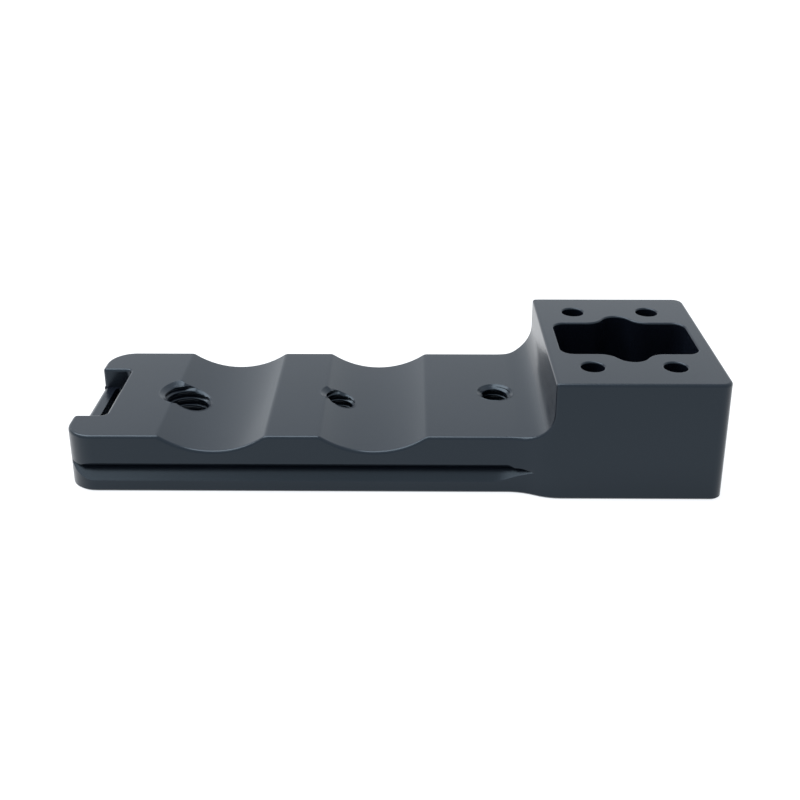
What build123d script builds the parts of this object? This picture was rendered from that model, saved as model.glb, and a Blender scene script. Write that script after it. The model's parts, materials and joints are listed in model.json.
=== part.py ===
"""Lens collar foot, machined from one piece of aluminium.

A dovetail plate lies along X. Its rear end rises to a block that bolts under
a lens collar. The origin is the centre of the base face, +X points to the
block, +Y across the plate and +Z up to the collar.
"""
import os
from math import atan2, cos, sin, sqrt

from build123d import *

# Plate, in millimetres
length = 124.2
plate_width = 38.0
plate_height = 11.9
nose_corner_radius = 5.5
edge_radius = 0.6
base_edge_break = 0.4

# Block under the collar
block_length = 32.2
block_width = 42.5
block_height = 24.0
block_corner_radius = 2.2
flare_length = 10.0
flare_past_block_face = 1.9
block_foot_radius = 6.0

# Finger scallops across the plate
scallop_radius = 17.5
scallop_depth = 3.2
first_scallop_from_nose = 28.1
scallop_pitch = 30.4
scallop_rim_radius = 1.5

# Dovetail grooves along both sides
lip_height = 2.45
groove_depth = 2.5
groove_neck_height = 0.55
groove_break = 0.65
groove_end_to_block = 11.8
groove_cutter_reach = 9.5
break_end_to_block = 8.4
break_cutter_reach = 1.4
groove_overshoot = 1.0

# Strap notch and bar at the nose
notch_length = 6.2
notch_width = 20.6
notch_depth = 4.2
notch_corner_radius = 1.2
ear_radius = 0.8
bar_width = 2.6
bar_round = 1.0
slot_ledge = 0.4
slot_corner_radius = 1.0

# Tripod threads, cut at their major diameter
coarse_thread_diameter = 9.525
fine_thread_diameter = 6.35
coarse_thread_from_nose = 20.1
middle_thread_from_nose = 51.1
rear_thread_to_block = 9.35
coarse_mouth_break = 0.75
middle_mouth_break = 0.6
rear_mouth_break = 0.45
mouth_break_angle = 120.0

# Screw holes through the block
screw_spacing_x = 15.5
screw_spacing_y = 27.1
screw_centre_to_rear = 16.8
screw_hole_diameter = 4.4
screw_head_diameter = 7.6
screw_grip = 7.0
screw_mouth_radius = 0.35

# Pocket in the top of the block
pocket_length = 26.8
pocket_width = 15.2
pocket_depth = 14.0
pocket_centre_to_rear = 16.2
pocket_corner_radius = 2.5
bulge_span = 22.4
bulge_radius = 3.2
bulge_blend_radius = 4.0
pocket_mouth_radius = 0.35

# Positions that follow from the sizes above
nose_x = -length / 2
rear_x = length / 2
block_face_x = rear_x - block_length
half_plate = plate_width / 2
half_block = block_width / 2
flare_end_x = block_face_x + flare_past_block_face
flare_start_x = flare_end_x - flare_length
flare_rise = half_block - half_plate
flare_radius = (flare_length**2 + flare_rise**2) / (4 * flare_rise)
screw_centre_x = rear_x - screw_centre_to_rear
pocket_centre_x = rear_x - pocket_centre_to_rear
scallop_centres_x = [nose_x + first_scallop_from_nose + scallop_pitch * step for step in range(2)]
scallop_half_chord = sqrt(scallop_radius**2 - (scallop_radius - scallop_depth) ** 2)
groove_flank_top = lip_height + groove_depth
groove_ceiling = groove_flank_top + groove_neck_height
groove_end_x = block_face_x - groove_end_to_block
break_end_x = block_face_x - break_end_to_block
notch_floor = plate_height - notch_depth
above = block_height + 5


def half_outline():
    """Half of the plan outline, from the nose round to the rear."""
    nose_arc_start = (nose_x, half_plate - nose_corner_radius)
    nose_arc_end = (nose_x + nose_corner_radius, half_plate)
    flare_middle = ((flare_start_x + flare_end_x) / 2, half_plate + flare_rise / 2)
    rear_arc_start = (rear_x - block_corner_radius, half_block)
    rear_arc_end = (rear_x, half_block - block_corner_radius)
    Line((nose_x, 0), nose_arc_start)
    RadiusArc(nose_arc_start, nose_arc_end, nose_corner_radius)
    Line(nose_arc_end, (flare_start_x, half_plate))
    RadiusArc((flare_start_x, half_plate), flare_middle, -flare_radius)
    RadiusArc(flare_middle, (flare_end_x, half_block), flare_radius)
    Line((flare_end_x, half_block), rear_arc_start)
    RadiusArc(rear_arc_start, rear_arc_end, block_corner_radius)
    Line(rear_arc_end, (rear_x, 0))


def half_pocket():
    """Half of the pocket outline: a rounded rectangle with a bulge in its long side."""
    half_length = pocket_length / 2
    half_width = pocket_width / 2
    bulge_centre_y = bulge_span / 2 - bulge_radius
    blend_centre_y = half_width + bulge_blend_radius
    centre_distance = bulge_radius + bulge_blend_radius
    blend_centre_x = sqrt(centre_distance**2 - (blend_centre_y - bulge_centre_y) ** 2)
    lean = atan2(blend_centre_y - bulge_centre_y, blend_centre_x)
    joint = (bulge_radius * cos(lean), bulge_centre_y + bulge_radius * sin(lean))
    for side in (-1, 1):
        corner_start = (side * half_length, half_width - pocket_corner_radius)
        corner_end = (side * (half_length - pocket_corner_radius), half_width)
        blend_start = (side * blend_centre_x, half_width)
        blend_end = (side * joint[0], joint[1])
        Line((side * half_length, 0), corner_start)
        RadiusArc(corner_start, corner_end, -side * pocket_corner_radius)
        Line(corner_end, blend_start)
        RadiusArc(blend_start, blend_end, side * bulge_blend_radius)
    ThreePointArc((-joint[0], joint[1]), (0, bulge_span / 2), joint)


def groove_section(side):
    """Dovetail groove section across the plate, open past the side face."""
    outside = side * (half_plate + groove_overshoot)
    inside = side * (half_plate - groove_depth)
    Polyline(
        (outside, lip_height - groove_overshoot),
        (inside, groove_flank_top),
        (inside, groove_ceiling),
        (outside, groove_ceiling),
        close=True,
    )


def break_section(side):
    """Bevel along the groove's upper edge."""
    outside = side * (half_plate + groove_overshoot)
    inside = side * (half_plate - groove_break)
    Polyline(
        (outside, groove_ceiling),
        (inside, groove_ceiling),
        (outside, groove_ceiling + groove_break + groove_overshoot),
        close=True,
    )


with BuildPart() as foot:
    # Plan outline, pulled up to the height of the block
    with BuildSketch(Plane.XY):
        with BuildLine():
            half_outline()
            mirror(about=Plane.XZ)
        make_face()
    extrude(amount=block_height)

    # Plate top with its two scallops and the round foot of the block
    with BuildSketch(Plane.XZ):
        with BuildLine():
            top_line = [(nose_x - 5, plate_height)]
            for centre_x in scallop_centres_x:
                top_line.append((centre_x - scallop_half_chord, plate_height))
                Line(top_line[-2], top_line[-1])
                top_line.append((centre_x + scallop_half_chord, plate_height))
                RadiusArc(top_line[-2], top_line[-1], -scallop_radius)
            Polyline(
                top_line[-1],
                (block_face_x, plate_height),
                (block_face_x, above),
                (nose_x - 5, above),
                top_line[0],
            )
        make_face()
        rims = [(x, plate_height) for x, _ in top_line[1:]]
        near_rim = [v for v in vertices() if any(abs(v.X - x) < 1e-3 and abs(v.Y - z) < 1e-3 for x, z in rims)]
        fillet(near_rim, radius=scallop_rim_radius)
        foot_corner = vertices().sort_by_distance((block_face_x, plate_height))[0]
        fillet(foot_corner, radius=block_foot_radius)
    extrude(amount=block_width, both=True, mode=Mode.SUBTRACT)

    # Strap notch, with rounded ears beside it
    with BuildSketch(Plane.XY.offset(notch_floor)):
        with Locations((nose_x, 0)):
            Rectangle(2 * notch_length, notch_width)
        fillet(vertices(), radius=notch_corner_radius)
    extrude(amount=plate_height, mode=Mode.SUBTRACT)
    ear_edges = foot.edges().filter_by(Axis.Z).filter_by_position(Axis.X, nose_x - 0.01, nose_x + 0.01)
    ear_edges = ear_edges.filter_by_position(Axis.Y, -notch_width / 2 - 0.01, notch_width / 2 + 0.01)
    fillet(ear_edges, radius=ear_radius)

    # Slot behind the strap bar, and the bar's round outer edge
    slot_length = notch_length - slot_ledge - bar_width
    with BuildSketch(Plane.XY):
        with Locations((nose_x + bar_width + slot_length / 2, 0)):
            Rectangle(slot_length, notch_width - 2 * slot_ledge)
        fillet(vertices(), radius=slot_corner_radius)
    extrude(amount=plate_height, mode=Mode.SUBTRACT)
    with BuildSketch(Plane.XZ):
        with Locations((nose_x + bar_round / 2, notch_floor - bar_round / 2)):
            Rectangle(bar_round, bar_round)
        with Locations((nose_x + bar_round, notch_floor - bar_round)):
            Circle(bar_round, mode=Mode.SUBTRACT)
    extrude(amount=notch_width / 2, both=True, mode=Mode.SUBTRACT)

    # Rounded edges round the top and broken ones round the base
    high_faces = foot.faces().filter_by(lambda face: face.center().Z > notch_floor + 0.1)
    top_faces = high_faces.filter_by(lambda face: face.normal_at().Z > 0.1)
    top_faces += high_faces.filter_by_position(Axis.X, block_face_x - 0.01, block_face_x + 0.01)
    wall_edges = foot.faces().filter_by(lambda face: face not in top_faces).edges()
    rim = top_faces.edges().filter_by(lambda edge: edge in wall_edges)
    rim += foot.edges().filter_by(Axis.Y).group_by(Axis.Z)[-1].sort_by(Axis.X)[0:1]
    fillet(rim, radius=edge_radius)
    chamfer(foot.faces().sort_by(Axis.Z)[0].outer_wire().edges(), length=base_edge_break)

    # Dovetail grooves, each ending where its round cutter leaves the side
    for side in (-1, 1):
        with BuildSketch(Plane.YZ.offset(nose_x - 1)):
            with BuildLine():
                groove_section(side)
            make_face()
        extrude(amount=groove_end_x - nose_x + 1, mode=Mode.SUBTRACT)
        with BuildSketch(Plane.YZ.offset(groove_end_x)):
            with BuildLine():
                groove_section(side)
            make_face()
        cutter_y = side * (half_plate + groove_cutter_reach)
        revolve(axis=Axis((groove_end_x, cutter_y, 0), (0, 0, 1)), mode=Mode.SUBTRACT)
        with BuildSketch(Plane.YZ.offset(nose_x - 1)):
            with BuildLine():
                break_section(side)
            make_face()
        extrude(amount=break_end_x - nose_x + 1, mode=Mode.SUBTRACT)
        with BuildSketch(Plane.YZ.offset(break_end_x)):
            with BuildLine():
                break_section(side)
            make_face()
        cutter_y = side * (half_plate + break_cutter_reach)
        revolve(axis=Axis((break_end_x, cutter_y, 0), (0, 0, 1)), mode=Mode.SUBTRACT)

    # Tripod threads, with a broken edge at both mouths
    for centre_x, diameter, top_break in (
        (nose_x + coarse_thread_from_nose, coarse_thread_diameter, coarse_mouth_break),
        (nose_x + middle_thread_from_nose, fine_thread_diameter, middle_mouth_break),
        (block_face_x - rear_thread_to_block, fine_thread_diameter, rear_mouth_break),
    ):
        with Locations((centre_x, 0, plate_height)):
            CounterSinkHole(
                radius=diameter / 2,
                counter_sink_radius=diameter / 2 + top_break,
                counter_sink_angle=mouth_break_angle,
            )
        chamfer(foot.edges(Select.LAST).group_by(Axis.Z)[0], length=base_edge_break)

    # Screw holes, counterbored from the base
    with Locations(Plane(origin=(screw_centre_x, 0, 0), z_dir=(0, 0, -1))):
        with GridLocations(screw_spacing_x, screw_spacing_y, 2, 2):
            CounterBoreHole(
                radius=screw_hole_diameter / 2,
                counter_bore_radius=screw_head_diameter / 2,
                counter_bore_depth=block_height - screw_grip,
            )
    top_circles = foot.edges(Select.LAST).filter_by(GeomType.CIRCLE).group_by(Axis.Z)[-1]
    base_circles = foot.edges(Select.LAST).filter_by(GeomType.CIRCLE).group_by(Axis.Z)[0]
    fillet(top_circles, radius=screw_mouth_radius)
    chamfer(base_circles, length=base_edge_break)

    # Pocket in the top of the block
    with BuildSketch(Plane.XY.offset(block_height)):
        with BuildLine(Plane((pocket_centre_x, 0, block_height))):
            half_pocket()
            mirror(about=Plane.XZ)
        make_face()
    extrude(amount=-pocket_depth, mode=Mode.SUBTRACT)
    pocket_mouth = foot.edges(Select.LAST).group_by(Axis.Z)[-1]
    fillet(pocket_mouth, radius=pocket_mouth_radius)

os.makedirs("parts", exist_ok=True)
foot.part.label = "foot"
export_step(foot.part, "parts/foot.step")
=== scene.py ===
"""Looks of the lens collar foot: anodised finish, cut threads, white studio and camera."""
import json
import math

import bmesh
import bpy
from mathutils import Matrix, Vector


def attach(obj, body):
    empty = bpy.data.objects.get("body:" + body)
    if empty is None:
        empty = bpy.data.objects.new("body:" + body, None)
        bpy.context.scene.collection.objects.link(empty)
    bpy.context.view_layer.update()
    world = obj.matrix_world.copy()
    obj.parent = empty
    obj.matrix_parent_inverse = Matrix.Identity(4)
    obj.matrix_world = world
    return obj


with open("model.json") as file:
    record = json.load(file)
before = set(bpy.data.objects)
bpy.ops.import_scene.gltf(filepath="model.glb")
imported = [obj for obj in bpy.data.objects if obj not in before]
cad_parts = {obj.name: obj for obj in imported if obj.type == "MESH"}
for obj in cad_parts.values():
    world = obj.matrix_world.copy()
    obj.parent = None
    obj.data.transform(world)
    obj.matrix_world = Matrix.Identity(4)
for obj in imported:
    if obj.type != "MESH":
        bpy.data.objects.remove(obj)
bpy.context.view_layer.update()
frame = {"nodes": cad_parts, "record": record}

MM = 0.001
INCH = 25.4 * MM

# Sizes of the foot that the threads follow, in metres
PLATE_HEIGHT = 11.9 * MM
SCALLOP_RADIUS = 17.5 * MM
SCALLOP_DEPTH = 3.2 * MM
SCALLOP_CENTRES_X = (-34.0 * MM, -3.6 * MM)
BASE_BREAK = 0.4 * MM
MOUTH_SLOPE = math.tan(math.radians(60))

# Tripod threads: mount name, pitch, start of the helix in turns, top break, minor diameter
THREADS = (
    ("tripod_thread_coarse", INCH / 16, 0.36, 0.75 * MM, 7.95 * MM),
    ("tripod_thread_middle", INCH / 20, 0.0, 0.6 * MM, 5.1 * MM),
    ("tripod_thread_rear", INCH / 20, 0.0, 0.45 * MM, 5.1 * MM),
)
THREAD_ROOT_HALF = 1 / 16
THREAD_FLANK = 5 / 16
THREAD_COLUMNS = 96
THREAD_ROWS_PER_TURN = 16
THREAD_SOFT_ANGLE = math.radians(70)

# How far the ring lies inside the hole's wall, at its root, its back and its ends
THREAD_ROOT_SINK = 0.02 * MM
THREAD_BACK_SINK = 0.15 * MM
THREAD_CAP_SINK = 0.3 * MM

# Points and edges closer than this are one
WELD_DISTANCE = 0.002 * MM
SHORT_EDGE = 0.001 * MM

# Soft edge round each thread's mouth, standing just proud of the corner
MOUTH_EDGE_RADIUS = 0.16 * MM
MOUTH_EDGE_PROUD = 0.04 * MM
MOUTH_EDGE_SIDES = 12
MOUTH_EDGE_STEPS = 20

# Anodised finish
FINISH_TINT = (0.61, 0.765, 0.9, 1)
FINISH_DARK = (0.004, 0.006, 0.011, 1)
FINISH_LIGHT = (0.006, 0.008, 0.014, 1)
FINISH_ROUGHNESS = (0.22, 0.26)
CLOUD_SCALE = 60.0
GRAIN_SCALE = 5500.0
GRAIN_HEIGHT = 0.01 * MM

# White studio
WORLD_COLOR = (1.0, 1.055, 1.1, 1)
WORLD_AMBIENT = 0.3
FLOOR_COLOR = (0.28, 0.28, 0.28, 1)
FLOOR_GLOW = (1.0, 1.02, 1.05, 1)
FLOOR_LIFT = 0.9
FLOOR_SIZE = 2.4
FLOOR_GAP = 0.03 * MM

# Lamps: name, location, target, width and depth in metres, watts
SOFTBOXES = (
    ("overhead", (-0.45, 0.2, 0.9), (-0.45, 0, 0), 1.2, 0.68, 12.0),
    ("front_left", (-0.45, -0.3, 0.8), (0, 0, 0), 0.5, 0.3, 0.9),
    ("back_left", (-0.7, 0.8, 0.3), (0, 0, 0), 0.5, 0.5, 0.29),
)

# Camera, as found from the edges of the photograph
PHOTO_WIDTH = 800.0
FOCAL_PX = 1068.0
SENSOR_WIDTH = 36.0
SHIFT_Y = -0.15
CLIP_START = 0.005
CLIP_END = 20.0
CAMERA_AT = Vector((3.44, -195.44, 109.12)) * MM
CAMERA_YAW = -0.0108
CAMERA_PITCH = 0.3572
CAMERA_ROLL = -0.0017


def top_height(x):
    """Height of the plate's top at x, with the scallops cut in."""
    height = PLATE_HEIGHT
    lowest = PLATE_HEIGHT - SCALLOP_DEPTH
    for centre_x in SCALLOP_CENTRES_X:
        offset = abs(x - centre_x)
        if offset < SCALLOP_RADIUS:
            cut = lowest + SCALLOP_RADIUS - math.sqrt(SCALLOP_RADIUS**2 - offset**2)
            height = min(height, cut)
    return height


def thread_radius(phase, major, minor):
    """Radius of a 60 degree internal thread at a phase from 0 to 1 of its pitch."""
    from_root = abs((phase + 0.5) % 1.0 - 0.5)
    climb = min(max((from_root - THREAD_ROOT_HALF) / THREAD_FLANK, 0.0), 1.0)
    return major - (major - minor) * climb


def tapped_hole(mount_name):
    """Centre and wall radius of a tapped hole, from the record's mount."""
    mount = next(m for m in frame["record"]["mounts"] if m["name"] == mount_name)
    return mount["pos_m"][0], mount["dims"]["r_mm"] * MM


def outward(column):
    """Direction from a hole's axis to one column of its ring."""
    angle = 2 * math.pi * column / THREAD_COLUMNS
    return Vector((math.cos(angle), math.sin(angle), 0))


def new_object(name, vertices, faces, material):
    mesh = bpy.data.meshes.new(name)
    mesh.from_pydata(vertices, [], faces)
    mesh.validate()
    mesh.update()
    piece = bpy.data.objects.new(name, mesh)
    bpy.context.collection.objects.link(piece)
    piece.data.materials.append(material)
    return piece


def weld(piece):
    """Joins the rows that the ends of the hole have pressed together."""
    work = bmesh.new()
    work.from_mesh(piece.data)
    bmesh.ops.remove_doubles(work, verts=work.verts, dist=WELD_DISTANCE)
    bmesh.ops.dissolve_degenerate(work, edges=work.edges, dist=SHORT_EDGE)
    bmesh.ops.recalc_face_normals(work, faces=work.faces)
    work.to_mesh(piece.data)
    work.free()


def cut_thread(mount_name, pitch, start, top_break, minor_diameter, material):
    """A closed ring whose inner face is the thread, seated in the hole's wall."""
    centre_x, major = tapped_hole(mount_name)
    minor = minor_diameter / 2
    root = major + THREAD_ROOT_SINK
    back = major + THREAD_BACK_SINK
    flat_top = PLATE_HEIGHT - top_break / MOUTH_SLOPE

    def inner_radius(z, turn, surface):
        cut = thread_radius(z / pitch - turn - start, root, minor)
        top_cone = major + top_break - (PLATE_HEIGHT - z) * MOUTH_SLOPE
        rim_cone = major - (surface - z) * MOUTH_SLOPE
        base_cone = major + BASE_BREAK - z
        return min(max(cut, top_cone, rim_cone, base_cone), root)

    # Two turns more than the plate is high, so the helix reaches past both ends
    rows = round(PLATE_HEIGHT / pitch * THREAD_ROWS_PER_TURN) + 2 * THREAD_ROWS_PER_TURN
    vertices = []
    for column in range(THREAD_COLUMNS):
        turn = column / THREAD_COLUMNS
        along = outward(column)
        surface = top_height(centre_x + major * along.x)
        wall_top = min(flat_top, surface)
        crest_radius = inner_radius(wall_top, turn, surface)
        crest_top = min(flat_top, top_height(centre_x + crest_radius * along.x))
        loop = []
        for row in range(rows + 1):
            z = (row / THREAD_ROWS_PER_TURN - 2 + turn + start) * pitch
            z = min(max(z, BASE_BREAK), crest_top)
            loop.append((inner_radius(z, turn, surface), z))
        loop.append((root, wall_top))
        loop.append((back, wall_top - THREAD_CAP_SINK))
        loop.append((back, BASE_BREAK + THREAD_CAP_SINK))
        for radius, z in loop:
            vertices.append((centre_x + radius * along.x, radius * along.y, z))

    count = len(loop)
    faces = []
    for column in range(THREAD_COLUMNS):
        after = (column + 1) % THREAD_COLUMNS
        # The helix has climbed one turn where the ring closes
        climb = THREAD_ROWS_PER_TURN if after == 0 else 0
        here, there = column * count, after * count
        for row in range(rows - climb):
            beside = there + row + climb
            faces.append((here + row, here + row + 1, beside + 1, beside))
        for row in range(rows, count):
            above = (row + 1) % count
            faces.append((here + row, here + above, there + above, there + row))

    thread = new_object(mount_name + "_ridges", vertices, faces, material)
    weld(thread)
    thread.data.shade_smooth()
    thread.data.set_sharp_from_angle(angle=THREAD_SOFT_ANGLE)
    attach(thread, "root")


def round_mouth(mount_name, top_break, material):
    """A thin rounded edge that follows the thread's mouth over flat and scallop."""
    centre_x, major = tapped_hole(mount_name)
    sunk = MOUTH_EDGE_RADIUS - MOUTH_EDGE_PROUD
    vertices = []
    for column in range(THREAD_COLUMNS):
        along = outward(column)
        radius = major
        for _ in range(MOUTH_EDGE_STEPS):
            fall = PLATE_HEIGHT - top_height(centre_x + radius * along.x)
            radius = max(major, major + top_break - fall * MOUTH_SLOPE)
        z = top_height(centre_x + radius * along.x)
        for side in range(MOUTH_EDGE_SIDES):
            turn = 2 * math.pi * side / MOUTH_EDGE_SIDES
            reach = radius + sunk + MOUTH_EDGE_RADIUS * math.cos(turn)
            height = z - sunk + MOUTH_EDGE_RADIUS * math.sin(turn)
            vertices.append((centre_x + reach * along.x, reach * along.y, height))

    faces = []
    for column in range(THREAD_COLUMNS):
        here = column * MOUTH_EDGE_SIDES
        there = (column + 1) % THREAD_COLUMNS * MOUTH_EDGE_SIDES
        for side in range(MOUTH_EDGE_SIDES):
            beside = (side + 1) % MOUTH_EDGE_SIDES
            faces.append((here + side, there + side, there + beside, here + beside))

    edge = new_object(mount_name + "_mouth", vertices, faces, material)
    edge.data.shade_smooth()
    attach(edge, "root")


def anodised_material():
    """Black anodising over a bead-blasted surface."""
    material = bpy.data.materials.new("anodised_black")
    material.use_nodes = True
    nodes = material.node_tree.nodes
    links = material.node_tree.links
    shader = nodes["Principled BSDF"]
    shader.inputs["Metallic"].default_value = 0.0
    shader.inputs["IOR"].default_value = 1.5
    shader.inputs["Specular Tint"].default_value = FINISH_TINT
    place = nodes.new("ShaderNodeTexCoord")

    cloud = nodes.new("ShaderNodeTexNoise")
    cloud.inputs["Scale"].default_value = CLOUD_SCALE
    cloud.inputs["Detail"].default_value = 3.0
    links.new(place.outputs["Object"], cloud.inputs["Vector"])
    tone = nodes.new("ShaderNodeValToRGB")
    tone.color_ramp.elements[0].position = 0.3
    tone.color_ramp.elements[0].color = FINISH_DARK
    tone.color_ramp.elements[1].position = 0.7
    tone.color_ramp.elements[1].color = FINISH_LIGHT
    links.new(cloud.outputs["Fac"], tone.inputs["Fac"])
    links.new(tone.outputs["Color"], shader.inputs["Base Color"])

    gloss = nodes.new("ShaderNodeMapRange")
    gloss.inputs["To Min"].default_value = FINISH_ROUGHNESS[0]
    gloss.inputs["To Max"].default_value = FINISH_ROUGHNESS[1]
    links.new(cloud.outputs["Fac"], gloss.inputs["Value"])
    links.new(gloss.outputs["Result"], shader.inputs["Roughness"])

    grain = nodes.new("ShaderNodeTexNoise")
    grain.inputs["Scale"].default_value = GRAIN_SCALE
    grain.inputs["Detail"].default_value = 2.0
    links.new(place.outputs["Object"], grain.inputs["Vector"])
    bump = nodes.new("ShaderNodeBump")
    bump.inputs["Strength"].default_value = 0.25
    bump.inputs["Distance"].default_value = GRAIN_HEIGHT
    links.new(grain.outputs["Fac"], bump.inputs["Height"])
    links.new(bump.outputs["Normal"], shader.inputs["Normal"])
    return material


def seen_directly(nodes, links):
    """1 for rays from the camera, reflections and refractions, else 0."""
    path = nodes.new("ShaderNodeLightPath")
    first = nodes.new("ShaderNodeMath")
    first.operation = "MAXIMUM"
    second = nodes.new("ShaderNodeMath")
    second.operation = "MAXIMUM"
    links.new(path.outputs["Is Camera Ray"], first.inputs[0])
    links.new(path.outputs["Is Glossy Ray"], first.inputs[1])
    links.new(first.outputs[0], second.inputs[0])
    links.new(path.outputs["Is Transmission Ray"], second.inputs[1])
    return second.outputs[0]


def white_world():
    """White where it is seen, and dimmer as a light."""
    world = bpy.data.worlds.new("white_studio")
    bpy.context.scene.world = world
    world.use_nodes = True
    nodes = world.node_tree.nodes
    links = world.node_tree.links
    background = nodes["Background"]
    background.inputs["Color"].default_value = WORLD_COLOR
    strength = nodes.new("ShaderNodeMapRange")
    strength.inputs["To Min"].default_value = WORLD_AMBIENT
    strength.inputs["To Max"].default_value = 1.0
    links.new(seen_directly(nodes, links), strength.inputs["Value"])
    links.new(strength.outputs["Result"], background.inputs["Strength"])


def white_floor():
    """A floor that reads as white from above, keeps the shadow and is clear from below."""
    material = bpy.data.materials.new("floor_white")
    material.use_nodes = True
    nodes = material.node_tree.nodes
    links = material.node_tree.links
    nodes.clear()
    out = nodes.new("ShaderNodeOutputMaterial")
    matt = nodes.new("ShaderNodeBsdfDiffuse")
    matt.inputs["Color"].default_value = FLOOR_COLOR
    glow = nodes.new("ShaderNodeEmission")
    glow.inputs["Color"].default_value = FLOOR_GLOW
    level = nodes.new("ShaderNodeMapRange")
    level.inputs["To Min"].default_value = 0.0
    level.inputs["To Max"].default_value = FLOOR_LIFT
    both = nodes.new("ShaderNodeAddShader")
    links.new(seen_directly(nodes, links), level.inputs["Value"])
    links.new(level.outputs["Result"], glow.inputs["Strength"])
    links.new(matt.outputs[0], both.inputs[0])
    links.new(glow.outputs[0], both.inputs[1])
    clear = nodes.new("ShaderNodeBsdfTransparent")
    side = nodes.new("ShaderNodeNewGeometry")
    one_sided = nodes.new("ShaderNodeMixShader")
    links.new(side.outputs["Backfacing"], one_sided.inputs[0])
    links.new(both.outputs[0], one_sided.inputs[1])
    links.new(clear.outputs[0], one_sided.inputs[2])
    links.new(one_sided.outputs[0], out.inputs["Surface"])

    half = FLOOR_SIZE / 2
    around = ((-half, -half), (half, -half), (half, half), (-half, half))
    # The gap keeps the floor off the plane of the foot's base
    corners = [(x, y, -FLOOR_GAP) for x, y in around]
    floor = new_object("floor", corners, [(0, 1, 2, 3)], material)


def softbox(name, location, target, width, depth, watts):
    light = bpy.data.lights.new(name, "AREA")
    light.shape = "RECTANGLE"
    light.size = width
    light.size_y = depth
    light.energy = watts
    lamp = bpy.data.objects.new(name, light)
    bpy.context.collection.objects.link(lamp)
    aim = Vector(target) - Vector(location)
    lamp.location = location
    lamp.rotation_mode = "QUATERNION"
    lamp.rotation_quaternion = aim.to_track_quat("-Z", "Y")


def photo_camera():
    """Camera at the photograph's viewpoint, from its yaw, pitch and roll."""
    data = bpy.data.cameras.new("photo_camera")
    data.sensor_width = SENSOR_WIDTH
    data.lens = FOCAL_PX / PHOTO_WIDTH * SENSOR_WIDTH
    data.shift_y = SHIFT_Y
    data.clip_start = CLIP_START
    data.clip_end = CLIP_END
    camera = bpy.data.objects.new("photo_camera", data)
    bpy.context.collection.objects.link(camera)
    ahead = Vector(
        (
            math.sin(CAMERA_YAW) * math.cos(CAMERA_PITCH),
            math.cos(CAMERA_YAW) * math.cos(CAMERA_PITCH),
            -math.sin(CAMERA_PITCH),
        )
    )
    right = Vector((math.cos(CAMERA_YAW), -math.sin(CAMERA_YAW), 0))
    down = ahead.cross(right)
    turned_right = math.cos(CAMERA_ROLL) * right - math.sin(CAMERA_ROLL) * down
    turned_down = math.sin(CAMERA_ROLL) * right + math.cos(CAMERA_ROLL) * down
    axes = Matrix((turned_right, -turned_down, -ahead)).transposed()
    camera.matrix_world = Matrix.Translation(CAMERA_AT) @ axes.to_4x4()
    bpy.context.scene.camera = camera


finish = anodised_material()
for node in frame["nodes"].values():
    for material_slot in node.material_slots:
        material_slot.material = finish

for name, pitch, start, top_break, minor_diameter in THREADS:
    cut_thread(name, pitch, start, top_break, minor_diameter, finish)
    round_mouth(name, top_break, finish)

white_world()
white_floor()
for box in SOFTBOXES:
    softbox(*box)
photo_camera()
bpy.context.scene.view_settings.view_transform = "Standard"
